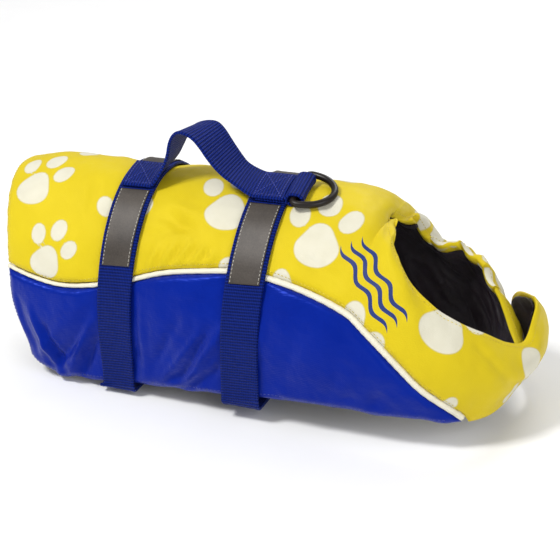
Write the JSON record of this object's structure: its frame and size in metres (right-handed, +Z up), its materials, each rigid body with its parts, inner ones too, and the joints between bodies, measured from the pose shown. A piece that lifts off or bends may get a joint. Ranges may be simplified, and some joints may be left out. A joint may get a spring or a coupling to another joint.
{
  "type": "dog life jacket",
  "caption": "Hollow foam-filled dog life jacket with belly straps, lifting handle, reflective tapes and a hinged lead ring.",
  "frame": {"origin": "inner face of the back, over the spine, midway between the belly straps, where the dog's back carries the jacket", "axes": "+X along the back to the head end, +Z up, -Y to the dog's right side"},
  "size_m": [0.3509, 0.1444, 0.1719],
  "materials": {
    "yellow_nylon": "plain-woven polyurethane-coated nylon, soft sheen",
    "blue_nylon": "satin-faced nylon, soft sheen",
    "piping": "bias-cut cotton piping",
    "lining": "dark nylon lining",
    "webbing": "ribbed nylon webbing",
    "reflective_tape": "grey glass-bead reflective tape",
    "dark_plastic": "moulded acetal, satin"
  },
  "bodies": {
    "jacket": {"upper_panel": "yellow_nylon", "lining": "lining", "side_panel_near": "blue_nylon", "side_panel_far": "blue_nylon", "piping_near": "piping", "piping_far": "piping", "tape_rear_near": "reflective_tape", "tape_front_near": "reflective_tape", "tape_rear_far": "reflective_tape", "tape_front_far": "reflective_tape", "belly_strap_rear": "webbing", "belly_strap_front": "webbing", "buckle_rear": "dark_plastic", "buckle_front": "dark_plastic", "handle": "webbing", "ring_loop": "webbing"},
    "ring": {"lead_ring": "dark_plastic"}
  },
  "joints": [
    {"name": "ring_swing", "type": "hinge", "parent": "jacket", "child": "ring", "pos_m": [0.06064, -0.01503, 0.01153], "axis": [0, -0.9656, -0.2601], "range_deg": [0, 100]}
  ]
}
